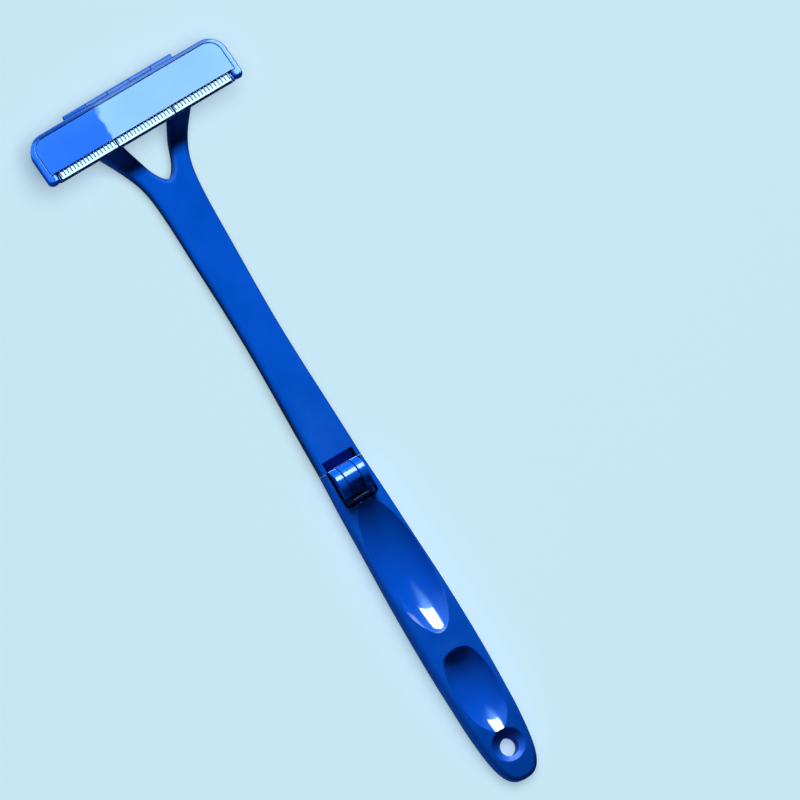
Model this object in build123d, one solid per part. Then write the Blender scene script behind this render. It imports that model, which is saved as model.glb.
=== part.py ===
from build123d import *
import os
from math import cos, sin, radians, sqrt

# Folding long-handle back shaver. Millimetres.
# X runs across the head, Y along the handle towards the head, Z from the flat rear
# faces (Z = 0, the rest plane) to the front.
# Origin: centre of the hang hole on the rear face of the grip.

os.makedirs("parts", exist_ok=True)

# ---------------------------------------------------------------- handle, shared sizes
FRONT_ROUND = 3.4           # front edge rounding of grip and arm
REAR_ROUND = 3.0            # rear edge rounding of grip and arm
WALL = 2.3                  # shell wall
RIB_HALF = 0.7              # half thickness of the cross ribs

# ---------------------------------------------------------------- grip (lower handle)
GRIP_END = -23.4            # far end of the grip
GRIP_TOP = 211.90           # end face at the fold
# (half width, y)
GRIP_HALF = [(14.85, GRIP_TOP), (16.3, 184.0), (17.35, 151.5), (18.55, 119.0), (19.05, 90.0),
             (19.05, 60.5), (18.4, 34.5), (18.0, 21.5), (17.05, 8.5), (15.4, -4.5),
             (13.9, -11.0), (11.1, -17.5), (7.2, -21.7)]
# (y, z) of the front face
GRIP_FRONT = [(-26.0, 12.6), (-10.0, 15.2), (8.0, 17.2), (34.0, 19.2), (60.0, 20.2),
              (90.0, 20.4), (119.0, 19.8), (150.0, 18.6), (184.0, 17.3), (GRIP_TOP, 17.0)]
# (y, z) of the inside of the shells, seen from the side
GRIP_CAVITY = [(-21, 2.4), (209.6, 2.4), (209.6, 4.6), (183.0, 4.6), (183.0, 11.4),
               (172, 10.6), (163, 9.2), (155, 8.5), (112, 8.5), (104, 9.6), (96, 12.0),
               (88.0, 16.6), (73.5, 16.6), (70.5, 12.4), (64, 11.0), (52, 10.2), (31, 10.2),
               (-21, 10.3)]
GRIP_CAVITY_TOP = 209.6
GRIP_PART_Z = 8.5           # parting plane of the grip shells
HOLE_R = 6.2                # hang hole
DISH_R, DISH_Z = 18.8, 31.6  # sphere of the dish round the hang hole, its centre height
GRIP_RIBS = (53, 100, 141)  # y of the cross ribs

# finger scoops, turned about an axis along Y: (y, floor depth below the front face)
SCOOP_AXIS_Z = 31.5
UPPER_SCOOP = [(84.2, -1.5), (86.5, 0.0), (92.0, 2.6), (98.0, 4.6), (108.0, 6.9),
               (118.0, 8.2), (128.0, 8.7), (138.0, 8.55), (147.0, 8.05), (155.0, 7.15),
               (163.0, 6.0), (171.0, 4.5), (179.0, 2.5), (187.5, 0.0), (191.0, -1.3)]
LOWER_SCOOP = [(9.8, -1.3), (12.0, 0.0), (15.0, 1.15), (20.0, 3.0), (26.0, 4.8),
               (33.0, 6.2), (41.0, 6.85), (50.0, 6.9), (57.0, 6.5), (63.0, 5.5),
               (67.0, 4.45), (70.0, 3.05), (71.6, 1.6), (72.8, 0.0), (74.0, -2.0)]

# ---------------------------------------------------------------- fold hinge and its lock
FOLD_Y, FOLD_Z = 201.5, 17.6
KNUCKLE_R = 10.5
FACET_DIST = 9.7            # flat on the knuckle, distance from the axis
FACET_ANGLE = 25.0          # its direction above +Y
LOCK_ANGLE = 180 + FACET_ANGLE  # the lock notch lies opposite the flat
EAR_IN, EAR_OUT = 5.4, 10.8  # ears of the yoke, half widths
LUG_HALF = 4.9              # centre lug of the hinge block
PIN_R, PIN_HALF = 2.0, 10.5
PIT_HALF = 12.4             # pit in the grip round the hinge
PIT_Y0, PIT_Z = 185.0, 6.2
TUB_Z = 4.6                 # underside of the pit's tub
FOOT_Z0, FOOT_Z1 = 2.45, 4.55   # foot of the hinge block
SPRING_Y0, SPRING_Y1, SPRING_Z = 170.75, 180.25, 4.75
SPRING_R, SPRING_WIRE_R, SPRING_TURNS = 1.55, 0.22, 7.0

# ---------------------------------------------------------------- fork arm
ARM_Y0 = 212.05
# (half width, y) of the outer sides
ARM_HALF = [(14.8, ARM_Y0), (14.0, 249.0), (13.15, 281.5), (12.8, 314.0), (13.4, 346.5),
            (14.4, 379.0), (15.6, 411.5), (17.0, 424.5), (18.4, 431.0), (20.6, 437.5),
            (23.6, 444.0), (27.2, 450.5), (31.4, 457.0), (35.6, 463.5), (39.2, 470.0),
            (42.6, 480.0), (44.0, 492.0)]
# (half width, y) of the inner sides of the fork, down to its root
FORK_HALF = [(28.0, 492.0), (22.6, 477.0), (17.8, 463.0), (11.2, 447.5), (5.2, 433.2),
             (0, 428.7)]
# (y, z) of the front face, the rear face of the prongs and the parting line
ARM_FRONT = [(ARM_Y0, 17.0), (250.0, 15.9), (300.0, 14.3), (350.0, 12.9), (400.0, 11.8),
             (434.0, 11.2), (444.0, 11.5), (451.0, 14.6), (458.0, 20.6), (464.0, 26.6)]
ARM_REAR = [(436.0, 0.0), (446.0, 0.9), (456.0, 4.8), (466.0, 11.0), (480.0, 20.6)]
ARM_PARTING = [(200, 8.4), (ARM_Y0, 8.4), (300.0, 7.3), (400.0, 6.0), (434.0, 5.7),
               (444.0, 6.6), (452.0, 10.0), (460.0, 15.4), (474.0, 26.2), (500.0, 46.2)]
# (y, z) of the inside of the shells, seen from the side
ARM_CAVITY_Y0 = 214.4
ARM_CAVITY = [(ARM_CAVITY_Y0, 2.3), (421.0, 2.3), (421.0, 8.9), (400, 9.5), (350, 10.6),
              (300, 12.0), (250, 13.6), (221.4, 14.4), (ARM_CAVITY_Y0, 14.4)]
ARM_TIP_Y = 486.5           # the prongs are cut off here
ARM_RIBS = (295, 361)       # y of the cross ribs
SLOT_HALF, SLOT_Y1 = 11.4, 219.2    # slot for the ears in the front of the arm
BLOCK_Y0, BLOCK_Y1 = ARM_Y0 + 0.3, 236.0    # block of the yoke, held in the arm
BLOCK_Z0, BLOCK_Z1 = 3.2, 12.0
BLOCK_GAP = 0.1

# ---------------------------------------------------------------- head
# Head frame: x across, p (as y) away from the handle, q (as z) out of the front face.
# The blade edge line is p = 0, the front plane of the cover q = 0.
HEAD_TILT = 20.0
HEAD_Y, HEAD_Z = 463.2, 33.0    # origin of the head frame
HEAD_HALF = 73.5
RIM_TOP = 34.5              # upper edge of the head
RIM_W = 3.7                 # rim band of the cover
CORNER_R = 13.0             # upper corners
LOBE_IN, LOBE_P = 66.6, -0.6    # lobes at the lower ends: inner side, lower edge
FLANGE_P = 0.6              # lower edge of the base flange
PANEL_P = 5.5               # lower edge of the cover panel
COVER_T = 1.3
COVER_Q = -4.9              # rear of the cover's rim
BASE_FRONT, BASE_REAR = -5.1, -7.9  # faces of the base flange
BED_Q = -2.25               # bed under the blades
BED_STEP_Q = -3.7           # lower step round the bed
BED_HALF = LOBE_IN - 0.4
PRESS_Q = -2.00             # plane of the cover ribs that press on the blades
BLADE_Q = -2.20             # underside of the blades
BLADE_T = 0.10
BLADE_L, BLADE_W = 43.0, 22.0
BLADE_PITCH = 43.3
COMB_PITCH = BLADE_PITCH / 17
TOOTH_W = 0.62
CHANNEL_W = 1.15            # hair channels between the guard teeth
# (p, q) of a comb tooth of the cover
TOOTH = [(7.5, -0.8), (PANEL_P - 0.1, -0.5), (4.2, -0.75), (2.1, -1.35), (1.4, -1.75),
         (1.4, PRESS_Q), (7.5, PRESS_Q)]
# (p, q) of the guard bar of the base
GUARD = [(3.0, BED_Q), (0.5, BED_Q), (-0.6, -2.85), (-0.95, -3.5), (-0.95, -4.6),
         (-0.1, -6.0), (0.9, -6.9), (3.0, -6.9)]
# hinge between cover and base: axis, knuckle radius, rod radius, x ranges of the knuckles
HINGE_P, HINGE_Q = 36.1, -5.0
HINGE_R, ROD_R = 2.5, 1.0
COVER_KNUCKLES = [(-41, -25), (-8.2, 8.2), (25, 41)]
BASE_KNUCKLES = [(-24.7, -8.5), (8.5, 24.7)]
KNUCKLE_GAP = 0.3
ROD_BORE_HALF = 41.5

# ---------------------------------------------------------------- screws
PILOT_R = 1.47              # hole the thread bites into
CLEAR_R = 1.6               # clearance hole for the shank
SEAT_R = 2.95               # counterbore for the head
SEAT_GAP = 0.02             # the head underside lies this far below its seat
# places (x, y) and seat heights
GRIP_SCREWS, GRIP_SEAT = [(0, 27), (0, 80), (-11.3, 150), (11.3, 150)], 2.3
FOOT_SCREWS, FOOT_SEAT = [(-8.0, 203.5), (8.0, 203.5)], 1.3
ARM_SCREWS, ARM_SEAT = [(0, 262), (0, 328), (0, 394)], 2.2
YOKE_SCREWS, YOKE_SEAT = [(-6.6, 217.2), (6.6, 217.2)], 1.6
# places (x, p) and seat q in the head frame
HEAD_SCREWS, HEAD_SEAT = [(x, 12.4) for x in (-36.0, -29.0, 29.0, 36.0)], -11.5


# ---------------------------------------------------------------- helpers
def box(x0, x1, y0, y1, z0, z1):
    center = Pos((x0 + x1) / 2, (y0 + y1) / 2, (z0 + z1) / 2)
    return center * Box(x1 - x0, y1 - y0, z1 - z0)


def cyl(x, y, z0, z1, r):
    return Pos(x, y, (z0 + z1) / 2) * Cylinder(r, z1 - z0)


def cyl_x(y, z, x0, x1, r):
    return Pos((x0 + x1) / 2, y, z) * (Rot(0, 90, 0) * Cylinder(r, x1 - x0))


def polygon_face(points):
    return Face(Wire.make_polygon(points, close=True))


def poly_yz(points, x0, x1):
    """Polygon given as (y, z), extruded from x0 to x1."""
    return Solid.extrude(polygon_face([Vector(x0, y, z) for y, z in points]),
                         Vector(x1 - x0, 0, 0))


def poly_xy(points, z0, height):
    """Polygon given as (x, y), extruded up from z0."""
    return Solid.extrude(polygon_face([Vector(x, y, z0) for x, y in points]),
                         Vector(0, 0, height))


def edges_yz(edges, half):
    """Closed edges in the plane x = -half, extruded to x = half."""
    return Solid.extrude(Face(Wire(edges)), Vector(2 * half, 0, 0))


def spline_yz(points, x, tangents=None):
    v = [Vector(x, y, z) for y, z in points]
    if tangents is None:
        return Edge.make_spline(v)
    return Edge.make_spline(v, tangents=[Vector(0, *t) for t in tangents])


def lines_yz(points, x):
    """Chain of straight edges through (y, z) points."""
    v = [Vector(x, y, z) for y, z in points]
    return [Edge.make_line(a, b) for a, b in zip(v, v[1:])]


def chord_spline(points):
    """Spline whose end tangents follow its first and last chords."""
    return Edge.make_spline(points, tangents=[(points[1] - points[0]).normalized(),
                                              (points[-1] - points[-2]).normalized()])


def plan_points(table):
    """Points of an (x, y) table, on a plane just behind the handle."""
    return [Vector(x, y, -2) for x, y in table]


def mirrored(points):
    return [Vector(-v.X, v.Y, v.Z) for v in points]


def rounded_face(corners, q):
    """Face with square-on sides from (x, p, corner radius); radius 0 is a sharp corner."""
    k = 1 - 1 / sqrt(2)
    runs = []
    for i, (x, p, r) in enumerate(corners):
        before, after = corners[i - 1], corners[(i + 1) % len(corners)]
        corner = Vector(x, p, q)
        to_before = (Vector(before[0], before[1], q) - corner).normalized() * r
        to_after = (Vector(after[0], after[1], q) - corner).normalized() * r
        runs.append((corner + to_before, corner + (to_before + to_after) * k,
                     corner + to_after, r))
    edges = []
    for i, (start, middle, end, r) in enumerate(runs):
        edges.append(Edge.make_line(runs[i - 1][2], start))
        if r:
            edges.append(Edge.make_three_point_arc(start, middle, end))
    return Face(Wire(edges))


def round_panel(x, p0, p1, r, q0, q1):
    """Panel with two round upper corners, from q0 to q1."""
    face = rounded_face([(x, p0, 0), (x, p1, r), (-x, p1, r), (-x, p0, 0)], q0)
    return Solid.extrude(face, Vector(0, 0, q1 - q0))


def biggest(shape):
    return max(shape.solids(), key=lambda s: s.volume)


def try_fillet(shape, edges, r):
    """Fillet at the largest share of r that works; the shape itself if none does."""
    for share in (1.0, 0.85, 0.7, 0.5):
        # guards against radii the kernel cannot build on these edges
        try:
            out = shape.fillet(r * share, edges)
            if out.is_valid and out.volume > 0.5 * shape.volume:
                return out
        except Exception:
            pass
    return shape


def interp(table, y):
    """Straight-line value at y in a (y, z) table, held level past its ends."""
    for (a, b), (c, d) in zip(table, table[1:]):
        if a <= y <= c:
            return b + (d - b) * (y - a) / (c - a)
    return table[0][1] if y < table[0][0] else table[-1][1]


def to_head(shape):
    """Move a shape from the head frame to its place."""
    tilt = radians(HEAD_TILT)
    frame = Plane(origin=(0, HEAD_Y, HEAD_Z), x_dir=(1, 0, 0), z_dir=(0, sin(tilt), cos(tilt)))
    return frame.location * shape


def hinge_bar(x0, x1, r):
    """Cylinder on the cover hinge axis, in the head frame."""
    return cyl_x(HINGE_P, HINGE_Q, x0, x1, r)


def screw_hole(shape, x, y, seat, top):
    """Cut the counterbore up to the seat and the clearance hole up to top."""
    return shape - cyl(x, y, -1, seat, SEAT_R) - cyl(x, y, -1, top, CLEAR_R)


def save(shape, name):
    parts = [s for s in shape.solids() if s.volume > 0.02]
    out = parts[0] if len(parts) == 1 else Compound(children=parts)
    out.label = name
    export_step(out, f"parts/{name}.step")


# ---------------------------------------------------------------- grip shells
def grip_plan(half, end):
    """Grip outline in plan from a half-width table and the y of its end, extruded."""
    right = plan_points(half)
    points = right + [Vector(0, end, -2)] + mirrored(reversed(right))
    face = Face(Wire([chord_spline(points), Edge.make_line(points[-1], points[0])]))
    return Solid.extrude(face, Vector(0, 0, 40))


def grip_outline_edges(shape, front):
    """Long edges round the front face, or round the rear face."""
    out = []
    for e in shape.edges():
        bb = e.bounding_box()
        if bb.max.Y - bb.min.Y < 15:
            continue
        if (bb.min.Z > 5) if front else (bb.max.Z < 0.01):
            out.append(e)
    return out


def scoop(table):
    points = [(y, interp(GRIP_FRONT, y) - depth) for y, depth in table]
    first, last = points[0], points[-1]
    sides = lines_yz([last, (last[0], SCOOP_AXIS_Z), (first[0], SCOOP_AXIS_Z), first], 0)
    face = Face(Wire([spline_yz(points, 0)] + sides))
    return Solid.revolve(face, 360, Axis((0, 0, SCOOP_AXIS_Z), (0, 1, 0)))


def grip_envelope():
    start, end = GRIP_FRONT[0], GRIP_FRONT[-1]
    sides = lines_yz([end, (GRIP_TOP, 0), (start[0], 0), start], -40)
    side = edges_yz([spline_yz(GRIP_FRONT, -40)] + sides, 40)
    grip = biggest(grip_plan(GRIP_HALF, GRIP_END) & side)
    grip = try_fillet(grip, grip_outline_edges(grip, True), FRONT_ROUND)
    grip = try_fillet(grip, grip_outline_edges(grip, False), REAR_ROUND)
    dish = Pos(0, 0, DISH_Z) * Sphere(DISH_R)
    return biggest(grip - scoop(UPPER_SCOOP) - scoop(LOWER_SCOOP) - dish)


def grip_cavity():
    """Inside of the shells, less the boss of the hang hole, screw bosses and ribs."""
    inner_half = [(x - WALL, min(y, GRIP_CAVITY_TOP)) for x, y in GRIP_HALF]
    cavity = grip_plan(inner_half, GRIP_END + 3.6) & poly_yz(GRIP_CAVITY, -40, 40)
    cavity = cavity - cyl(0, 0, -5, 40, HOLE_R + 2.0)
    bosses = [cyl(x, y, -5, 40, 3.9 if x else 3.4) for x, y in GRIP_SCREWS]
    cavity = cavity - sum(bosses[1:], bosses[0])
    for y in GRIP_RIBS:
        cavity = cavity - box(-30, 30, y - RIB_HALF, y + RIB_HALF, -5, 40)
    return cavity


def make_grip():
    """Front and rear shell."""
    pit = box(-PIT_HALF, PIT_HALF, PIT_Y0, 215, PIT_Z, 60)
    corners = [e for e in pit.edges()
               if abs(e.center().Y - PIT_Y0) < 1e-3 and e.bounding_box().size.Z > 20]
    pit = try_fillet(pit, corners, 3.0)
    hole = cyl(0, 0, -5, 40, HOLE_R)
    lug_opening = box(-5.2, 5.2, 195.6, 207.4, 4.0, 7.0)
    button_opening = box(-4.2, 4.2, PIT_Y0 + 0.02, 190.75, 4.0, 7.0)
    # way for the button's tail, under the pit wall
    tail_way = box(-3.4, 3.4, 182.5, 186.0, 2.4, 6.6)
    full = (grip_envelope() - grip_cavity() - pit - hole - lug_opening - button_opening
            - tail_way)
    front = full & box(-60, 60, -60, 215, GRIP_PART_Z, 60)
    back = full & box(-60, 60, -60, 215, -10, GRIP_PART_Z)

    # the pit floor and walls under the parting plane belong to the front shell
    tub_half = PIT_HALF + 0.9
    gap_half = PIT_HALF + 1.0
    tub = full & box(-tub_half, tub_half, PIT_Y0 - 2.0, GRIP_TOP, TUB_Z, GRIP_PART_Z)
    front = front + tub
    back = back - box(-gap_half, gap_half, PIT_Y0 - 2.1, 212.5, TUB_Z - 0.1,
                      GRIP_PART_Z + 0.001)

    for x, y in GRIP_SCREWS:
        back = screw_hole(back, x, y, GRIP_SEAT, GRIP_PART_Z + 1)
        front = front - cyl(x, y, GRIP_PART_Z - 1, 11.6, PILOT_R)
    for x, y in FOOT_SCREWS:
        back = screw_hole(back, x, y, FOOT_SEAT, 6)

    # spring abutment and the side walls of the spring channel
    back = back + box(-4.5, 4.5, 168.6, 170.4, 2.0, 7.4)
    for x0, x1 in ((-4.5, -3.6), (3.6, 4.5)):
        back = back + box(x0, x1, 170.4, 181.0, 2.0, 5.5)
    return biggest(front), biggest(back)


# ---------------------------------------------------------------- fold hinge pieces
def hinge_point(angle, distance, offset):
    """(y, z) at a distance from the fold axis along angle, offset square to it."""
    a = radians(angle)
    return (FOLD_Y + cos(a) * distance - sin(a) * offset,
            FOLD_Z + sin(a) * distance + cos(a) * offset)


def hinge_cut(angle, corners, x0, x1):
    """Prism from (distance, offset) corners, 1 mm past x0 and x1."""
    return poly_yz([hinge_point(angle, d, s) for d, s in corners], x0 - 1, x1 + 1)


def facet_cut(x0, x1):
    outer = FACET_DIST + 20
    corners = [(FACET_DIST, 20), (FACET_DIST, -20), (outer, -20), (outer, 20)]
    return hinge_cut(FACET_ANGLE, corners, x0, x1)


def pin_bore(clearance):
    return cyl_x(FOLD_Y, FOLD_Z, -20, 20, PIN_R + clearance)


def make_hinge_block():
    """Centre lug on a foot that is screwed to the rear shell of the grip."""
    lug = cyl_x(FOLD_Y, FOLD_Z, -LUG_HALF, LUG_HALF, KNUCKLE_R)
    lug = lug + poly_yz([(197.0, 4.4), (206.6, 4.4), (209.0, 10.5), (194.0, 10.5)],
                        -LUG_HALF, LUG_HALF)
    lug = lug - facet_cut(-LUG_HALF, LUG_HALF)
    # hollow towards the button
    lug = lug - cyl_x(190.5, 28.5, -6, 6, 9.0)
    lug = lug - poly_yz([(190.5, 19.5), (180, 19.5), (180, 40), (190.5, 40)], -6, 6)
    block = lug + box(-11.0, 11.0, 193.4, 209.2, FOOT_Z0, FOOT_Z1)
    block = block - box(-20, 20, 190, 196.9, FOOT_Z1 + 0.01, PIT_Z + 0.05)
    for x, y in FOOT_SCREWS:
        block = block + cyl(x, y, FOOT_Z0, FOOT_Z1, 2.6) - cyl(x, y, 0, 4.3, PILOT_R)
    block = biggest(block - pin_bore(0.02))
    rims = [e for e in block.edges() if abs(abs(e.center().X) - LUG_HALF) < 0.01
            and e.center().Z > 19 and e.length > 1.5]
    return try_fillet(block, rims, 0.4)


def round_ended_pin(pin, r):
    return try_fillet(pin, [e for e in pin.edges() if e.geom_type == GeomType.CIRCLE], r)


def ear(x0, x1):
    body = cyl_x(FOLD_Y, FOLD_Z, x0, x1, KNUCKLE_R)
    body = body + poly_yz([(FOLD_Y, 7.1), (212.5, 7.1), (212.5, 17.0), (FOLD_Y, 20.0)], x0, x1)
    body = body - facet_cut(x0, x1)
    return body - hinge_cut(LOCK_ANGLE, [(9.6, -2.1), (9.6, 2.6), (14, 2.6), (14, -2.1)],
                            x0, x1)


def make_yoke():
    """Two ears on a block that is held in the arm."""
    yoke = ear(EAR_IN, EAR_OUT) + ear(-EAR_OUT, -EAR_IN)
    block = box(-EAR_OUT, EAR_OUT, BLOCK_Y0, BLOCK_Y1, BLOCK_Z0, BLOCK_Z1)
    block = block - box(-8.6, 8.6, 221.5, 234.0, 5.6, 13.0)
    yoke = yoke + block + box(-6.0, 6.0, BLOCK_Y0, BLOCK_Y0 + 0.4, BLOCK_Z0, 15.8)
    for x, y in YOKE_SCREWS:
        yoke = yoke - cyl(x, y, 0, 10.6, PILOT_R)
    yoke = biggest(yoke - pin_bore(0.06))
    rims = [e for e in yoke.edges()
            if min(abs(abs(e.center().X) - side) for side in (EAR_OUT, EAR_IN)) < 0.01
            and e.center().Z > 18.0 and e.length > 1.5]
    return try_fillet(yoke, rims, 0.4)


def make_lock_button():
    """Slab with two prongs that enter the ear notches, a finger lip and a sprung tail."""
    y0, y1 = 187.0, 189.3
    z0 = 6.35
    neck_z, neck_y1 = 2.9, 189.2
    slab = box(-10.6, 10.6, y0, y1, z0, 14.6)
    upper = hinge_point(LOCK_ANGLE, 10.76, -1.6)
    lower = hinge_point(LOCK_ANGLE, 10.76, 1.6)
    prong_side = [(y0, upper[1]), (y0, lower[1]), lower, upper]
    right_prong = poly_yz(prong_side, 5.7, 10.6)
    left_prong = poly_yz(prong_side, -10.6, -5.7)
    lip = poly_yz([(y0, z0), (y1, z0), (y1, 17.2), (y1, 19.2), (188.2, 19.2), (y0, 17.4)],
                  -5.8, 5.8)
    neck = box(-3.9, 3.9, y0, neck_y1, neck_z, 6.5)
    tail = box(-3.2, 3.2, 180.6, neck_y1, neck_z, 4.35)
    tail = tail + box(-3.2, 3.2, 180.6, 182.2, neck_z, 6.4)
    # peg inside the end of the spring
    tail = tail + (Pos(0, 179.6, SPRING_Z) * (Rot(90, 0, 0) * Cylinder(0.95, 2.2)))
    button = biggest(slab + right_prong + left_prong + lip + neck + tail)
    lip_edges = [e for e in button.edges() if e.center().Z > 18.5 and e.length > 5]
    return try_fillet(button, lip_edges, 0.35)


def make_lock_spring():
    length = SPRING_Y1 - SPRING_Y0
    helix = Helix(pitch=length / SPRING_TURNS, height=length, radius=SPRING_R)
    section = Plane(origin=helix @ 0, z_dir=helix % 0) * Circle(SPRING_WIRE_R)
    spring = sweep(section, path=helix)
    return biggest(Pos(0, SPRING_Y0, SPRING_Z) * (Rot(-90, 0, 0) * spring))


# ---------------------------------------------------------------- arm shells
def arm_outline_edges(shape, front):
    """Long edges in front of, or behind, the middle of the arm's thickness."""
    out = []
    for e in shape.edges():
        if e.length < 30:
            continue
        if e.geom_type == GeomType.LINE and e.bounding_box().size.X > 5:
            continue
        middle = e.position_at(0.5)
        if middle.Y > 475:
            continue
        rear_z = interp(ARM_REAR, middle.Y) if middle.Y > 446 else 0
        mid_z = 0.5 * (interp(ARM_FRONT, middle.Y) + rear_z)
        if (middle.Z > mid_z) == front:
            out.append(e)
    return out


def arm_envelope():
    right = plan_points(ARM_HALF)
    left = mirrored(right)
    inner = plan_points(FORK_HALF)
    inner = inner + mirrored(reversed(inner[:-1]))
    outline = Wire([chord_spline(right), Edge.make_line(right[-1], inner[0]),
                    chord_spline(inner), Edge.make_line(inner[-1], left[-1]),
                    chord_spline(left), Edge.make_line(left[0], right[0])])
    plan = Solid.extrude(Face(outline), Vector(0, 0, 50))

    front = spline_yz(ARM_FRONT, -60, [(1, -0.03), (0.7, 0.7)])
    rear = spline_yz(ARM_REAR, -60, [(1, 0), (0.8, 0.62)])
    over = lines_yz([ARM_FRONT[-1], (500, 60), (520, 60), ARM_REAR[-1]], -60)
    under = lines_yz([ARM_REAR[0], (ARM_Y0, 0), ARM_FRONT[0]], -60)
    arm = biggest(plan & edges_yz([front] + over + [rear] + under, 60))

    # stop just behind the head base and cut off the tips
    arm = biggest(arm - to_head(box(-80, 80, -200, 80, BASE_REAR - 0.05, 60)))
    arm = biggest(arm - box(-80, 80, ARM_TIP_Y, 560, -10, 80))
    arm = try_fillet(arm, arm_outline_edges(arm, True), FRONT_ROUND)
    return try_fillet(arm, arm_outline_edges(arm, False), REAR_ROUND)


def arm_cavity():
    """Inside of the shells with the pocket of the yoke block, less bosses and ribs."""
    right = [(x - WALL, max(y, ARM_CAVITY_Y0)) for x, y in ARM_HALF if y < 425]
    left = [(-x, y) for x, y in reversed(right)]
    cavity = poly_xy(right + left, -2, 40) & poly_yz(ARM_CAVITY, -40, 40)
    for x, y in ARM_SCREWS:
        cavity = cavity - cyl(x, y, -5, 40, 3.3)
    for y in ARM_RIBS:
        cavity = cavity - box(-30, 30, y - RIB_HALF, y + RIB_HALF, -5, 40)
    pocket_half = EAR_OUT + BLOCK_GAP
    pocket_y1 = BLOCK_Y1 + BLOCK_GAP
    cavity = cavity - box(-14, 14, pocket_y1, pocket_y1 + 1.6, 0, 40)
    return cavity + box(-pocket_half, pocket_half, 212.0, pocket_y1,
                        BLOCK_Z0 - BLOCK_GAP, BLOCK_Z1 + BLOCK_GAP)


def make_arm():
    """Front and rear shell."""
    slot = box(-SLOT_HALF, SLOT_HALF, 211.0, SLOT_Y1, 8.0, 40)
    slot = slot + box(-10.95, 10.95, 211.0, 214.5, BLOCK_Z0 - BLOCK_GAP, 40)
    hollow = arm_envelope() - arm_cavity() - slot

    start, end = ARM_PARTING[0], ARM_PARTING[-1]
    sides = lines_yz([end, (end[0], 90), (start[0], 90), start], -60)
    front_half = edges_yz([spline_yz(ARM_PARTING, -60)] + sides, 60)
    front = hollow & front_half
    back = hollow - front_half

    for x, y in ARM_SCREWS:
        part_z = interp(ARM_PARTING, y)
        back = screw_hole(back, x, y, ARM_SEAT, part_z + 1)
        front = front - cyl(x, y, part_z - 1, interp(ARM_FRONT, y) - 2.0, PILOT_R)
    for x, y in YOKE_SCREWS:
        back = screw_hole(back, x, y, YOKE_SEAT, 6)
    # holes square to the rear face of the head base
    for x, p in HEAD_SCREWS:
        seat = to_head(cyl(x, p, -40, HEAD_SEAT, SEAT_R))
        shank = to_head(cyl(x, p, -40, 0, CLEAR_R))
        back = back - seat - shank
        front = front - shank - seat
    return biggest(front), biggest(back)


# ---------------------------------------------------------------- screws
def screw(length, head_h=1.9):
    """Pan-head self-tapping screw along +Z, head underside at Z = 0, head at Z < 0."""
    head_r, thread_r, root_r = 2.7, 1.42, 1.12
    thread_pitch = 0.9
    point_h = 1.4
    profile = [(0, -head_h), (head_r * 0.55, -head_h), (head_r * 0.9, -head_h * 0.72),
               (head_r, -head_h * 0.3), (head_r, 0), (root_r, 0), (root_r, 0.8)]
    z = 0.8
    while z + 1.0 < length - point_h:
        profile += [(thread_r, z + 0.42), (root_r, z + 0.84)]
        z += thread_pitch
        profile += [(root_r, z)]
    profile += [(root_r, length - point_h), (0, length)]
    body = Solid.revolve(polygon_face([Vector(r, 0, z) for r, z in profile]), 360, Axis.Z)
    # cross recess
    long_half, short_half = 1.5, 0.32
    z0, z1 = -head_h - 1, -head_h + 1.15
    cross = (box(-long_half, long_half, -short_half, short_half, z0, z1)
             + box(-short_half, short_half, -long_half, long_half, z0, z1))
    return biggest(body - cross)


def screw_set(places, seat, one_screw):
    return [Pos(x, y, seat - SEAT_GAP) * one_screw for x, y in places]


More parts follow.
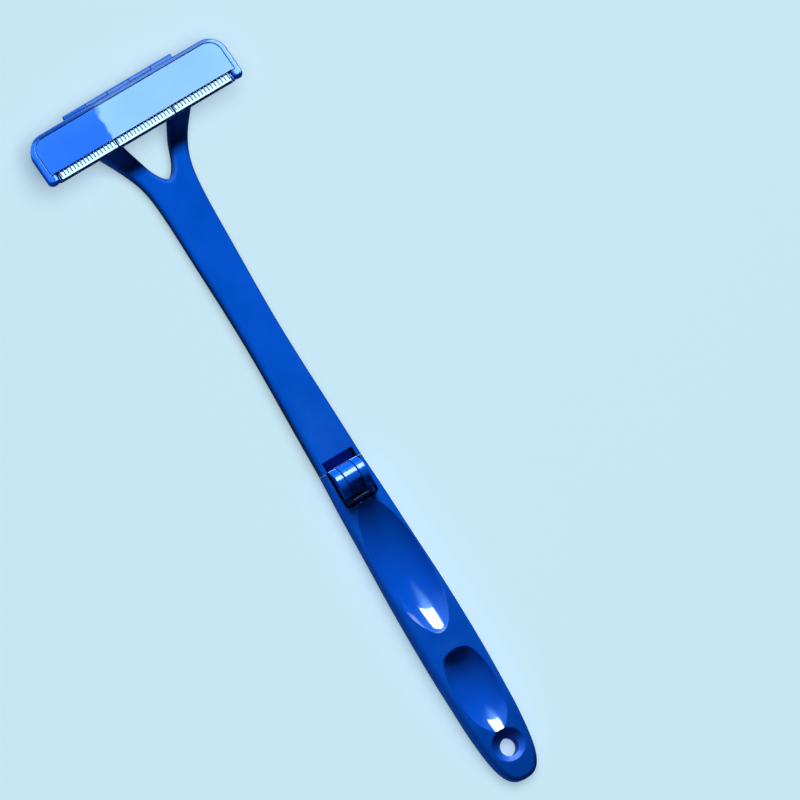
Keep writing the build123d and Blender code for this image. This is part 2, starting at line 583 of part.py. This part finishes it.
# ---------------------------------------------------------------- blade cover
def make_blade_cover():
    """Front frame of the head with the comb, built in the head frame."""
    h, top, r = HEAD_HALF, RIM_TOP, CORNER_R
    face = rounded_face([(h, top, r), (h, LOBE_P, 3.2), (LOBE_IN, LOBE_P, 2.6),
                         (LOBE_IN, PANEL_P, 0), (-LOBE_IN, PANEL_P, 0),
                         (-LOBE_IN, LOBE_P, 2.6), (-h, LOBE_P, 3.2), (-h, top, r)], COVER_Q)
    cover = Solid.extrude(face, Vector(0, 0, -COVER_Q))
    # front rim, without the panel's lower edge and the inner sides of the lobes
    rim = [e for e in cover.edges() if e.center().Z > -0.01
           and not abs(e.center().Y - PANEL_P) < 0.01
           and not (abs(abs(e.center().X) - LOBE_IN) < 0.6 and e.center().Y > LOBE_P + 2.0)]
    cover = try_fillet(cover, rim, 1.9)

    # hollow behind the panel
    side_wall = 1.8
    cover = cover - round_panel(h - side_wall, PANEL_P + 1.0, top - side_wall, r - side_wall,
                                COVER_Q - 1, -COVER_T)
    cover = cover - box(-LOBE_IN, LOBE_IN, -5, 8, COVER_Q - 1, -COVER_T)

    # groove between the panel and the rim band
    gx, gp, gr = h - RIM_W, top - RIM_W + 0.2, r - RIM_W
    half = 0.35
    groove = (round_panel(gx + half, 4.6, gp + half, gr + half, -0.6, 1)
              - round_panel(gx - half, 4.6 + 2 * half, gp - half, gr - half, -0.8, 2))
    groove = groove - box(-LOBE_IN + 0.3, LOBE_IN - 0.3, 0, PANEL_P + 0.3, -2, 2)
    cover = cover - groove

    # ribs that press on the blades, and upright ribs above them
    for p in (7.4, 14.8, 19.6):
        cover = cover + box(-64.5, 64.5, p - 0.5, p + 0.5, PRESS_Q, -COVER_T + 0.1)
    for x in (-64, -BLADE_PITCH, -BLADE_PITCH / 2, 0, BLADE_PITCH / 2, BLADE_PITCH, 64):
        cover = cover + box(x - 0.6, x + 0.6, 23.0, 32.8, -3.5, -COVER_T + 0.1)
    cover = cover - box(-70.5, 70.5, 7.0, 23.5, -8, PRESS_Q)

    teeth = []
    for i in range(-25, 26):
        x = i * COMB_PITCH
        teeth.append(poly_yz(TOOTH, x - TOOTH_W / 2, x + TOOTH_W / 2))
    cover = cover.fuse(*teeth)

    for x0, x1 in COVER_KNUCKLES:
        cover = (cover + hinge_bar(x0, x1, HINGE_R)
                 + box(x0, x1, 33.0, HINGE_P + 0.4, -4.4, -2.52))
    for x0, x1 in BASE_KNUCKLES:
        cover = cover - hinge_bar(x0 - KNUCKLE_GAP, x1 + KNUCKLE_GAP, HINGE_R + KNUCKLE_GAP)
    cover = cover - hinge_bar(-ROD_BORE_HALF, ROD_BORE_HALF, ROD_R + 0.08)
    return biggest(to_head(biggest(cover)))


# ---------------------------------------------------------------- head base
def make_head_base():
    """Rear frame of the head with the blade bed and guard, built in the head frame."""
    h, top, r = HEAD_HALF, RIM_TOP, CORNER_R
    face = rounded_face([(h, top, r), (h, FLANGE_P, 3.0), (-h, FLANGE_P, 3.0), (-h, top, r)],
                        BASE_REAR)
    flange = Solid.extrude(face, Vector(0, 0, BASE_FRONT - BASE_REAR))
    rear_edges = [e for e in flange.edges() if e.center().Z < BASE_REAR + 0.01]
    flange = try_fillet(flange, rear_edges, 1.2)
    inset = 2.1
    bed = round_panel(h - inset, PANEL_P + 1.3, top - inset, r - inset,
                      BASE_FRONT - 0.2, BED_STEP_Q)
    bed = bed + box(-BED_HALF, BED_HALF, FLANGE_P, 30.0, BASE_FRONT - 0.2, BED_Q)
    base = flange + bed
    base = base + poly_yz(GUARD, -BED_HALF, BED_HALF)
    # room for the upright ribs of the cover
    base = base - box(-70.5, 70.5, 23.0, 32.9, -3.62, 0)

    channels = []
    for i in range(-26, 26):
        x = (i + 0.5) * COMB_PITCH
        channels.append(box(x - CHANNEL_W / 2, x + CHANNEL_W / 2, -4, 2.6, -4.4, 0))
    base = biggest(base)
    base = base - channels

    # blade pegs: (offset from the blade centre, radius)
    for xc in (-BLADE_PITCH, 0, BLADE_PITCH):
        for dx, peg_r in ((0, 2.55), (-13.0, 1.65), (13.0, 1.65)):
            base = base + cyl(xc + dx, BLADE_W / 2, BED_Q - 0.2, -1.5, peg_r)

    # shallow rear pockets between ribs: columns (x0, x1), rows (p0, p1, depth)
    for x0, x1 in ((-69.5, -58.5), (-57.1, -46.5), (-18.5, -0.7), (0.7, 18.5),
                   (46.5, 57.1), (58.5, 69.5)):
        for p0, p1, depth in ((5.0, 15.8, 3.6), (17.2, 29.5, 3.0)):
            # the upper end pockets stop short of the round corners
            if max(abs(x0), abs(x1)) > 60 and p1 > 20:
                p1 = 24.5
            pocket = box(x0, x1, p0, p1, BASE_REAR - 1, BASE_REAR + depth)
            uprights = [e for e in pocket.edges() if e.bounding_box().size.Z > 1]
            base = base - try_fillet(pocket, uprights, 1.2)

    for x0, x1 in BASE_KNUCKLES:
        base = (base + hinge_bar(x0, x1, HINGE_R)
                + box(x0, x1, 32.5, HINGE_P - 0.6, BASE_REAR + 0.6, BASE_FRONT - 0.06))
    for x0, x1 in COVER_KNUCKLES:
        base = base - hinge_bar(x0 - KNUCKLE_GAP, x1 + KNUCKLE_GAP, HINGE_R + KNUCKLE_GAP)
    base = base - hinge_bar(-ROD_BORE_HALF, ROD_BORE_HALF, ROD_R + 0.02)
    for x, p in HEAD_SCREWS:
        base = base - cyl(x, p, BASE_REAR - 1, BED_STEP_Q, PILOT_R)
    return biggest(to_head(biggest(base)))


# ---------------------------------------------------------------- razor blades
def make_blade(xc):
    """Double-edged blade centred at xc, one edge on p = 0."""
    bevel = 0.45
    edge_low, edge_high, top = BLADE_Q + 0.04, BLADE_Q + 0.06, BLADE_Q + BLADE_T
    profile = [(0.0, edge_low), (0.0, edge_high), (bevel, top), (BLADE_W - bevel, top),
               (BLADE_W, edge_high), (BLADE_W, edge_low), (BLADE_W - bevel, BLADE_Q),
               (bevel, BLADE_Q)]
    b = poly_yz(profile, xc - BLADE_L / 2, xc + BLADE_L / 2)
    # notched corners
    notch = 4.9
    for side in (-1, 1):
        x = xc + side * (BLADE_L / 2)
        for p0, p1 in ((-1, notch), (BLADE_W - notch, BLADE_W + 1)):
            b = b - box(x - 0.45, x + 0.45, p0, p1, -5, 0)
    # long slot with a round centre, a six-sided hole and two cross slots on each side
    mid = BLADE_W / 2
    b = b - box(xc - 18.5, xc + 18.5, mid - 1.15, mid + 1.15, -5, 0) - cyl(xc, mid, -5, 0, 3.0)
    hexagon = [(-2.9, 0), (-0.5, 3.2), (0.5, 3.2), (2.9, 0), (0.5, -3.2), (-0.5, -3.2)]
    for side in (-1, 1):
        x = xc + side * 13
        b = b - poly_xy([(x + dx, mid + dp) for dx, dp in hexagon], -5, 5)
        for offset, half in ((17.6, 0.9), (8.45, 0.85)):
            x = xc + side * offset
            b = b - box(x - half, x + half, mid - 3.1, mid + 3.1, -5, 0)
    return biggest(to_head(biggest(b)))


# ---------------------------------------------------------------- write the pieces
grip_front, grip_back = make_grip()
arm_front, arm_back = make_arm()
fold_pin = cyl_x(FOLD_Y, FOLD_Z, -PIN_HALF, PIN_HALF, PIN_R)
cover_rod = hinge_bar(-40.6, 40.6, ROD_R)
head_screws = screw_set(HEAD_SCREWS, HEAD_SEAT, screw(7.6))

save(grip_front, "grip_front")
save(grip_back, "grip_back")
save(Compound(children=screw_set(GRIP_SCREWS, GRIP_SEAT, screw(9.0))), "grip_screws")
save(make_hinge_block(), "hinge_block")
save(Compound(children=screw_set(FOOT_SCREWS, FOOT_SEAT, screw(2.9, head_h=1.25))),
     "hinge_block_screws")
save(round_ended_pin(fold_pin, 0.35), "fold_pin")
save(make_lock_button(), "lock_button")
save(make_lock_spring(), "lock_spring")
save(make_yoke(), "hinge_yoke")
save(Compound(children=screw_set(YOKE_SCREWS, YOKE_SEAT, screw(8.4, head_h=1.5))),
     "yoke_screws")
save(arm_front, "arm_front")
save(arm_back, "arm_back")
save(Compound(children=screw_set(ARM_SCREWS, ARM_SEAT, screw(7.2))), "arm_screws")
save(make_head_base(), "head_base")
save(Compound(children=[to_head(s) for s in head_screws]), "head_screws")
save(make_blade_cover(), "blade_cover")
save(to_head(round_ended_pin(cover_rod, 0.2)), "cover_hinge_rod")
save(make_blade(-BLADE_PITCH), "razor_blade_left")
save(make_blade(0), "razor_blade_centre")
save(make_blade(BLADE_PITCH), "razor_blade_right")
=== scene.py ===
"""Looks and studio for a folding, long-handled tool with three razor blades side by side.

It lies flat along Y, with +Z up: the hang hole of the grip at the origin, the folding knuckle
near Y = 0.2, then the arm, and the head with its blades near Y = 0.48. Metres throughout.
"""
import bpy, bmesh, math
from mathutils import Vector, Matrix

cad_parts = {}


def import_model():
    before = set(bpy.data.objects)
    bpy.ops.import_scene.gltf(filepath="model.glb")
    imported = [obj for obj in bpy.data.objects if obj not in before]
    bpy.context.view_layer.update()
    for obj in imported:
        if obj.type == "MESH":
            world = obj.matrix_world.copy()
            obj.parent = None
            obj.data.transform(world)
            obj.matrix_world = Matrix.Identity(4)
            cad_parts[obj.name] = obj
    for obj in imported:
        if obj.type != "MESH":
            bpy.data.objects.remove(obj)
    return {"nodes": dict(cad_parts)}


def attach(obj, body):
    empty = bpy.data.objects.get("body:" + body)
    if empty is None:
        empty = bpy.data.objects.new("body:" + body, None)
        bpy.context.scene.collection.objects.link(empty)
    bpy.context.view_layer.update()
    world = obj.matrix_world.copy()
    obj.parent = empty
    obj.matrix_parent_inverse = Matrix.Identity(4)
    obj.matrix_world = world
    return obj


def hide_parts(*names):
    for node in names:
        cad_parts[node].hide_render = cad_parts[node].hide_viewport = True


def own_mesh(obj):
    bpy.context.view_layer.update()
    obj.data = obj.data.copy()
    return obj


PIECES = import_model()["nodes"]
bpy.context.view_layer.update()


# ------------------------------------------------------------------ shader helpers
class Shader:
    """The emptied node tree of a material, light or world, with short ways to add nodes."""

    def __init__(self, owner):
        owner.use_nodes = True
        self.tree = owner.node_tree
        self.tree.nodes.clear()

    def feed(self, node, inputs):
        """Link each input that is given a socket, and set each one that is given a value."""
        for key, value in inputs.items():
            if isinstance(value, bpy.types.NodeSocket):
                self.tree.links.new(value, node.inputs[key])
            else:
                node.inputs[key].default_value = value

    def add(self, kind, inputs=None, **settings):
        node = self.tree.nodes.new("ShaderNode" + kind)
        for key, value in settings.items():
            setattr(node, key, value)
        self.feed(node, inputs or {})
        return node

    def math(self, operation, *values):
        return self.add("Math", dict(enumerate(values)), operation=operation).outputs[0]

    def remap(self, value, old=(0.0, 1.0), new=(0.0, 1.0), **settings):
        """Carry the range old over to the range new, clamped at both ends."""
        node = self.add("MapRange", {
            "Value": value,
            "From Min": old[0], "From Max": old[1],
            "To Min": new[0], "To Max": new[1],
        }, **settings)
        return node.outputs[0]

    def noise(self, vector, scale, detail, roughness=0.5):
        node = self.add("TexNoise", {
            "Vector": vector, "Scale": scale, "Detail": detail, "Roughness": roughness})
        return node.outputs["Fac"]

    def ramp(self, factor, low, high, stops=(0.0, 1.0)):
        """Blend from the colour low to the colour high between two stops."""
        node = self.add("ValToRGB", {"Fac": factor})
        for element, stop, color in zip(node.color_ramp.elements, stops, (low, high)):
            element.position = stop
            element.color = (*color, 1)
        return node.outputs["Color"]

    def mix(self, factor, first, second):
        node = self.add("Mix", {"Factor": factor, "A": first, "B": second}, data_type="RGBA")
        return node.outputs["Result"]

    def split(self, vector):
        return self.add("SeparateXYZ", {0: vector}).outputs

    def bump(self, height, strength, distance, normal=None):
        inputs = {"Height": height, "Strength": strength, "Distance": distance}
        if normal is not None:
            inputs["Normal"] = normal
        return self.add("Bump", inputs).outputs["Normal"]


def new_material(name):
    """Return a material, its shader tree and its Principled node."""
    material = bpy.data.materials.new(name)
    shader = Shader(material)
    output = shader.add("OutputMaterial")
    surface = shader.add("BsdfPrincipled")
    shader.feed(output, {0: surface.outputs[0]})
    return material, shader, surface


# ------------------------------------------------------------------ places the materials mark
# A pair gives the start and the end of a soft edge.
JOINT_X = 0.02165                     # the joints between blades, each side of the middle
JOINT_HALF_WIDTH = (0.00040, 0.00060)
JOINT_START_Y = (0.4590, 0.4592)
JOINT_END_Y = (0.4676, 0.4682)        # the joints end at the cover panel
BAR_Y = (0.4918, 0.4928)              # the bar across the far end of the head lies beyond; it gets painted shade
DISH_RADIUS = (0.0098, 0.0118)        # the dish round the hang hole, centred on the origin
PIT_EDGE_Y = 0.185                    # lower edge of the pit
PIT_EDGE_HALF_WIDTH = (0.0010, 0.0016)


def joint_shade_mask(shader, coords):
    """1 in the painted shade of the two gaps between neighbouring blades, else 0."""
    place = shader.split(coords)
    offset = shader.math("SUBTRACT", shader.math("ABSOLUTE", place["X"]), JOINT_X)
    across = shader.remap(shader.math("ABSOLUTE", offset), old=JOINT_HALF_WIDTH, new=(1.0, 0.0))
    before_end = shader.remap(place["Y"], old=JOINT_END_Y, new=(1.0, 0.0))
    past_start = shader.remap(place["Y"], old=JOINT_START_Y)
    return shader.math("MULTIPLY", shader.math("MULTIPLY", across, before_end), past_start)


# ------------------------------------------------------------------ plastic
def pigment(shader, shifted, base):
    """Faint colour variation, with lighter worn edges."""
    body = shader.ramp(
        shader.noise(shifted, scale=26.0, detail=3.0),
        low=[c * 0.90 for c in base],
        high=[min(1, c * 1.10 + 0.002) for c in base],
        stops=(0.3, 0.75))
    pointiness = shader.add("NewGeometry").outputs["Pointiness"]
    edges = shader.remap(pointiness, old=(0.52, 0.62), new=(0.0, 0.35))
    patches = shader.noise(shifted, scale=220.0, detail=4.0)
    wear = shader.math("MULTIPLY", edges, patches)
    return shader.mix(wear, body, (0.05, 0.24, 0.85, 1))


def shading(shader, coords, reach, span, floor_level, bar_level):
    """Painted shade: 1 in the open, less in seams, the pit, the gaps between blades and on the end
    bar.
    """
    occlusion = shader.add("AmbientOcclusion", {"Distance": reach}, samples=6).outputs["AO"]
    occluded_shade = shader.remap(occlusion, old=span, new=(floor_level, 1.0))
    outside_joint_shade = shader.math("SUBTRACT", 1.0, joint_shade_mask(shader, coords))
    shade = shader.math("MULTIPLY", occluded_shade, outside_joint_shade)
    bar = shader.remap(shader.split(coords)["Y"], old=BAR_Y, new=(1.0, bar_level))
    return shader.math("MULTIPLY", shade, bar)


def handled_roughness(shader, coords, shifted, rough, scuff):
    """Long-wave smears plus fine scratches."""
    smears = shader.remap(
        shader.noise(shifted, scale=60.0, detail=6.0, roughness=0.65),
        old=(0.35, 0.75), new=(rough * 0.8, rough * 1.7))
    # Stretched noise makes thin lines, turned a little about Z
    stretched = shader.add("Mapping", {
        "Vector": coords,
        "Scale": (900.0, 35.0, 900.0),
        "Rotation": (0.0, 0.0, 0.35),
    }).outputs[0]
    scratches = shader.remap(
        shader.noise(stretched, scale=1.0, detail=2.0), old=(0.66, 0.78), new=(0.0, scuff))
    return shader.math("ADD", smears, scratches)


def moulded_normal(shader, shifted, wave_height, grain):
    """Slightly rounded edges, mould-polish waviness and micro grain."""
    rounded = shader.add("Bevel", {"Radius": 0.00045}, samples=6).outputs["Normal"]
    wavy = shader.bump(
        shader.noise(shifted, scale=95.0, detail=2.0),
        strength=0.25, distance=wave_height, normal=rounded)
    return shader.bump(
        shader.noise(shifted, scale=2400.0, detail=2.0),
        strength=grain, distance=0.00001, normal=wavy)


def plastic(name, base=(0.0, 0.078, 0.56), seed=0.0, rough=0.07, wave_height=0.000006,
            grain=0.12, scuff=0.10, shade_reach=0.005, shade_span=(0.22, 0.82),
            shade_floor=0.10, bar_level=1.0):
    """Glossy moulded plastic.

    seed shifts the noise; grain is the strength of the micro bump; scuff is the roughness
    of the scratches. Within shade_reach, the openness range shade_span becomes a painted
    shade, a brightness from shade_floor to 1. bar_level is the brightness of the painted
    shade on the bar at the end of the head.
    """
    material, shader, surface = new_material(name)
    coords = shader.add("TexCoord").outputs["Object"]
    shifted = shader.add("Mapping", {
        "Vector": coords, "Location": (seed, seed * 0.7, 0)}).outputs[0]

    color = pigment(shader, shifted, base)
    # Painted shade: where the shade is low the colour goes towards near black and the gloss drops
    shade = shading(shader, coords, shade_reach, shade_span, shade_floor, bar_level)
    color = shader.mix(shade, (0.0, 0.004, 0.03, 1), color)
    gloss = shader.math("MULTIPLY", shade, 0.55)
    roughness = handled_roughness(shader, coords, shifted, rough, scuff)

    # The dish round the hang hole is rubbed matt
    place = shader.split(coords)
    flat = shader.add("CombineXYZ", {0: place["X"], 1: place["Y"]}).outputs[0]
    radius = shader.add("VectorMath", {0: flat}, operation="LENGTH").outputs["Value"]
    dish_rough = shader.remap(radius, old=DISH_RADIUS, new=(0.30, 0.0))
    dish_gloss = shader.remap(radius, old=DISH_RADIUS, new=(0.25, 1.0))
    gloss = shader.math("MULTIPLY", gloss, dish_gloss)
    roughness = shader.math("ADD", roughness, dish_rough)

    # The pit's lower edge is dull
    offset = shader.math("SUBTRACT", place["Y"], PIT_EDGE_Y)
    pit_gloss = shader.remap(
        shader.math("ABSOLUTE", offset), old=PIT_EDGE_HALF_WIDTH, new=(0.06, 1.0))
    gloss = shader.math("MULTIPLY", gloss, pit_gloss)

    shader.feed(surface, {
        "Base Color": color,
        "Specular IOR Level": gloss,
        "Roughness": roughness,
        "Normal": moulded_normal(shader, shifted, wave_height, grain),
        "IOR": 1.53,
    })
    return material


# ------------------------------------------------------------------ steel
def steel(name, base, rough, brush, bump):
    """Brushed metal: brush is the noise scale along each axis, bump the strength of its relief."""
    material, shader, surface = new_material(name)
    coords = shader.add("TexCoord").outputs["Object"]
    stretched = shader.add("Mapping", {"Vector": coords, "Scale": brush}).outputs[0]
    strokes = shader.noise(stretched, scale=1.0, detail=4.0)
    body = shader.ramp(
        shader.noise(coords, scale=140.0, detail=5.0),
        low=[c * 0.8 for c in base],
        high=[min(1, c * 1.12) for c in base])
    shader.feed(surface, {
        # Painted shade: the blade ends beside the gaps between blades are near black
        "Base Color": shader.mix(joint_shade_mask(shader, coords), body, (0.004, 0.005, 0.02, 1)),
        "Roughness": shader.remap(strokes, old=(0.3, 0.7), new=(rough * 0.75, rough * 1.5)),
        "Normal": shader.bump(strokes, strength=bump, distance=0.00002),
        "Metallic": 1.0,
    })
    return material


# ------------------------------------------------------------------ materials of the pieces
BLUE = plastic("royal_blue_abs")
# Painted shade darkens the bar at the far end of the head to 40 % brightness
BLUE_HEAD = plastic(
    "royal_blue_abs_head", seed=3.1, rough=0.014, wave_height=0.000014, grain=0.01,
    scuff=0.015, bar_level=0.40)
# Painted highlight: the lock button is a lighter blue, standing in for the sheen on its lip, and
# gets almost none of the painted shade in the pit
BLUE_LOCK = plastic(
    "blue_lock_button_painted_sheen", base=(0.035, 0.095, 0.60), seed=5.2, rough=0.14,
    shade_span=(0.0, 0.05), shade_floor=0.9)
# Painted shade: a long occlusion reach darkens the arm's fork under the head down to black
BLUE_ARM = plastic(
    "royal_blue_abs_arm", seed=1.7, shade_reach=0.028, shade_span=(0.56, 0.92),
    shade_floor=0.0)
BLADE = steel(
    "blade_steel", base=(0.80, 0.81, 0.83), rough=0.16, brush=(40.0, 2600.0, 2600.0), bump=0.10)
ZINC = steel(
    "zinc_plated_steel", base=(0.60, 0.61, 0.64), rough=0.28,
    brush=(1200.0, 1200.0, 1200.0), bump=0.2)
WIRE = steel(
    "spring_wire", base=(0.50, 0.51, 0.54), rough=0.24, brush=(1800.0, 300.0, 1800.0), bump=0.15)

BLADES = ["razor_blade_left", "razor_blade_centre", "razor_blade_right"]

# Every piece not listed is BLUE
PIECES_OF_MATERIAL = [
    (BLUE_LOCK, ["lock_button"]),
    (BLUE_ARM, ["arm_front", "arm_back"]),
    (BLUE_HEAD, ["blade_cover", "head_base"]),
    (WIRE, ["lock_spring"]),
    (BLADE, BLADES),
    (ZINC, ["fold_pin", "cover_hinge_rod", "grip_screws", "hinge_block_screws",
            "arm_screws", "yoke_screws", "head_screws"]),
]
MATERIAL_OF_PIECE = {
    name: material for material, names in PIECES_OF_MATERIAL for name in names}
for name, piece in PIECES.items():
    piece.data.materials.clear()
    piece.data.materials.append(MATERIAL_OF_PIECE.get(name, BLUE))


# ------------------------------------------------------------------ lock spring
def add_to_scene(name, data):
    thing = bpy.data.objects.new(name, data)
    bpy.context.scene.collection.objects.link(thing)
    return thing


def build_coil():
    """A copy of the coil spring, carried by the grip, takes the place of the imported one."""
    spring = PIECES["lock_spring"]
    coil = add_to_scene("lock_spring_coil", spring.data.copy())
    bpy.context.view_layer.update()
    coil.matrix_world = spring.matrix_world.copy()
    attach(coil, "grip")
    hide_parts("lock_spring")
    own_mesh(coil)


build_coil()


# ------------------------------------------------------------------ floor
def floor_material():
    """Pale matt floor that glows a little, so shadows stay faint."""
    material, shader, surface = new_material("pale_floor")
    clouds = shader.add("TexNoise", {"Scale": 3.0}).outputs["Fac"]
    color = shader.ramp(clouds, low=(0.58, 0.80, 0.90), high=(0.63, 0.86, 0.95))
    shader.feed(surface, {
        "Base Color": color,
        "Emission Color": color,
        "Emission Strength": 0.42,
        "Roughness": 0.8,
        "Specular IOR Level": 0.1,
    })
    return material


def build_floor():
    """Flat square grid just below the tool, hidden from reflections."""
    grid = bmesh.new()
    bmesh.ops.create_grid(grid, x_segments=8, y_segments=8, size=3.0)
    mesh = bpy.data.meshes.new("floor")
    grid.to_mesh(mesh)
    grid.free()
    plane = add_to_scene("floor", mesh)
    plane.location = (0.0, 0.25, -0.0005)
    mesh.materials.append(floor_material())
    plane.visible_glossy = False
    return plane


floor = build_floor()


# ------------------------------------------------------------------ light helpers
def placement(x_axis, y_axis, z_axis, at):
    """World matrix with these axes and origin."""
    return Matrix((*zip(x_axis, y_axis, z_axis, at), (0, 0, 0, 1)))


def rectangle_light(name, width, height, power, receivers):
    """Area light that reaches only the receivers."""
    lamp = bpy.data.lights.new(name, "AREA")
    lamp.shape = "RECTANGLE"
    lamp.size = width
    lamp.size_y = height
    lamp.energy = power
    light = add_to_scene(name, lamp)
    group = bpy.data.collections.new(name + "_receivers")
    for receiver in receivers:
        group.objects.link(receiver)
    light.light_linking.receiver_collection = group
    return light


def area(name, at, target, size, power, receivers, color=(1.0, 1.0, 1.0)):
    """Square light that isn't seen in reflections."""
    light = rectangle_light(name, size, size, power, receivers)
    light.data.color = color
    light.data.spread = math.pi
    light.location = at
    aim = (Vector(target) - Vector(at)).normalized()
    light.rotation_euler = aim.to_track_quat("-Z", "Y").to_euler()
    light.visible_glossy = False


def card(name, at, target, width, height, color, strength, cloud, receivers,
         cut=None, fade=None):
    """Softbox seen only in reflections.

    cloud is how uneven the glow is. cut gives it a ragged low-X edge at that world X.
    fade is the pair of distances from the centre over which it dims to nothing.
    """
    # Power in step with the area, so that the strength alone sets the brightness
    light = rectangle_light(name, width, height, math.pi * width * height, receivers)
    z_axis = (Vector(at) - Vector(target)).normalized()
    x_axis = (Vector((1, 0, 0)) - z_axis * z_axis.x).normalized()
    light.matrix_world = placement(x_axis, z_axis.cross(x_axis), z_axis, at)
    light.visible_camera = False
    light.visible_diffuse = False

    shader = Shader(light.data)
    output = shader.add("OutputLight")
    emission = shader.add("Emission", {"Color": (*color, 1)})
    shader.feed(output, {0: emission.outputs[0]})
    position = shader.add("NewGeometry").outputs["Position"]
    level = shader.remap(
        shader.noise(position, scale=14.0, detail=3.0),
        old=(0.3, 0.7), new=(strength * (1 - cloud), strength * (1 + cloud)))
    if cut is not None:
        ragged = 0.014      # how far the noise moves the edge
        soft = 0.001        # half width of the blur along it
        wobble = shader.noise(position, scale=75.0, detail=2.0)
        edge_x = shader.math("MULTIPLY_ADD", wobble, ragged, shader.split(position)["X"])
        inside = shader.remap(edge_x, old=(cut - soft + ragged / 2, cut + soft + ragged / 2))
        level = shader.math("MULTIPLY", level, inside)
    if fade is not None:
        distance = shader.add("VectorMath", {0: position, 1: at}, operation="DISTANCE")
        glow = shader.remap(
            distance.outputs["Value"], old=fade, new=(1.0, 0.0), interpolation_type="SMOOTHSTEP")
        level = shader.math("MULTIPLY", level, glow)
    shader.feed(emission, {"Strength": level})


def pieces(*names):
    return [PIECES[name] for name in names]


# ------------------------------------------------------------------ lights
ARM = pieces("arm_front", "arm_back", "arm_screws")
ALL_BUT_ARM = [piece for name, piece in PIECES.items() if not name.startswith("arm_")]
GRIP = pieces("grip_front", "grip_back")
KNUCKLE = pieces("hinge_block", "hinge_yoke", "lock_button", "fold_pin")
HEAD = pieces("blade_cover", "head_base", "head_screws", "cover_hinge_rod")

MID_GRIP = (0.0, 0.2, 0.0)            # what most of the daylight is aimed at
GRIP_TOP = (0.0, 0.06, 0.017)
HEAD_TOP = (0.0, 0.48, 0.03)

# Soft daylight from the head end, and weak fills
area("key", at=(0.45, 2.8, 1.22), target=MID_GRIP, size=1.0, power=175, receivers=ALL_BUT_ARM)
area("key_arm", at=(0.40, 2.4, 1.95), target=(0.0, 0.4, 0.0), size=0.45, power=128,
     receivers=ARM)
area("fill", at=(-1.6, 1.6, 0.9), target=MID_GRIP, size=1.6, power=6,
     color=(0.85, 0.94, 1.0), receivers=ALL_BUT_ARM)
area("front_fill", at=(-0.6, 0.4, 2.0), target=MID_GRIP, size=1.2, power=1.4,
     color=(0.67, 0.87, 1.0), receivers=ALL_BUT_ARM)
area("floor_light", at=(0.2, 0.5, 3.0), target=(0.0, 0.25, 0.0), size=2.6, power=62,
     receivers=[floor])

# Reflections
card("core_card", at=(0.34, 1.020, 1.170), target=GRIP_TOP, width=1.40, height=0.62,
     color=(0.96, 1.0, 0.98), strength=27.0, cloud=0.05, receivers=GRIP)
card("halo_card", at=(0.15, 0.980, 1.200), target=GRIP_TOP, width=3.20, height=2.20,
     color=(0.38, 0.85, 1.0), strength=7.0, cloud=0.05, fade=(0.20, 0.86), receivers=GRIP)
card("knuckle_card", at=(0.085, 0.560, 0.350), target=(0.0, 0.20, 0.028),
     width=0.50, height=0.26,
     color=(0.62, 0.88, 1.0), strength=18.0, cloud=0.05, receivers=KNUCKLE)
card("wide_card", at=(0.412, 0.920, 0.557), target=(0.278, 0.48, 0.03),
     width=0.9, height=1.0,
     color=(0.47, 0.76, 0.95), strength=13.0, cloud=0.16, cut=0.1165, receivers=HEAD)
card("side_card", at=(1.5, 0.9, 0.55), target=HEAD_TOP, width=1.6, height=1.1,
     color=(0.72, 0.95, 1.0), strength=7.0, cloud=0.1, receivers=HEAD)
card("steel_card", at=(0.30, 1.49, 1.235), target=HEAD_TOP, width=1.5, height=1.5,
     color=(0.66, 0.86, 1.0), strength=0.95, cloud=0.25, receivers=pieces(*BLADES))


# ------------------------------------------------------------------ world
def build_world():
    """Faint even light, but a room that brightens towards the head end in reflections."""
    world = bpy.data.worlds.new("studio")
    bpy.context.scene.world = world
    shader = Shader(world)
    output = shader.add("OutputWorld")
    even = shader.add("Background", {"Color": (0.62, 0.80, 0.92, 1), "Strength": 0.012})
    direction = shader.split(shader.add("TexCoord").outputs["Generated"])
    brightness = shader.remap(
        direction["Y"], old=(0.15, 0.75), new=(0.03, 1.6), interpolation_type="SMOOTHSTEP")
    room = shader.add("Background", {"Color": (0.35, 0.80, 1.0, 1), "Strength": brightness})
    reflected = shader.add("LightPath").outputs["Is Glossy Ray"]
    blend = shader.add("MixShader", {0: reflected, 1: even.outputs[0], 2: room.outputs[0]})
    shader.feed(output, {0: blend.outputs[0]})


build_world()


# ------------------------------------------------------------------ camera
TILT = math.radians(11.0)             # from straight overhead towards -X
ROLL = math.radians(30.78)            # turns the top of the view from +Y towards +X
DISTANCE = 9.0
VIEW_WIDTH = 0.518                    # width seen at the aim point
SENSOR_WIDTH = 36.0                   # millimetres
HANG_HOLE = Vector((0.0, 0.0, 0.008))
AIM_RIGHT = -0.0698005                # from the hang hole to the aim point, in the view
AIM_UP = 0.22487675


def build_camera():
    to_camera = Vector((-math.sin(TILT), 0.0, math.cos(TILT)))
    level_right = Vector((0, 1, 0)).cross(to_camera)
    up = math.cos(ROLL) * Vector((0, 1, 0)) + math.sin(ROLL) * level_right
    right = up.cross(to_camera)
    aim = HANG_HOLE + right * AIM_RIGHT + up * AIM_UP

    lens = bpy.data.cameras.new("camera")
    camera = add_to_scene("camera", lens)
    lens.sensor_width = SENSOR_WIDTH
    lens.lens = SENSOR_WIDTH * DISTANCE / VIEW_WIDTH
    lens.clip_start = 0.05
    lens.clip_end = 20.0
    at = [a + b * DISTANCE for a, b in zip(aim, to_camera)]
    camera.matrix_world = placement(right, up, to_camera, at)
    bpy.context.scene.camera = camera


build_camera()
bpy.context.scene.view_settings.view_transform = "Standard"
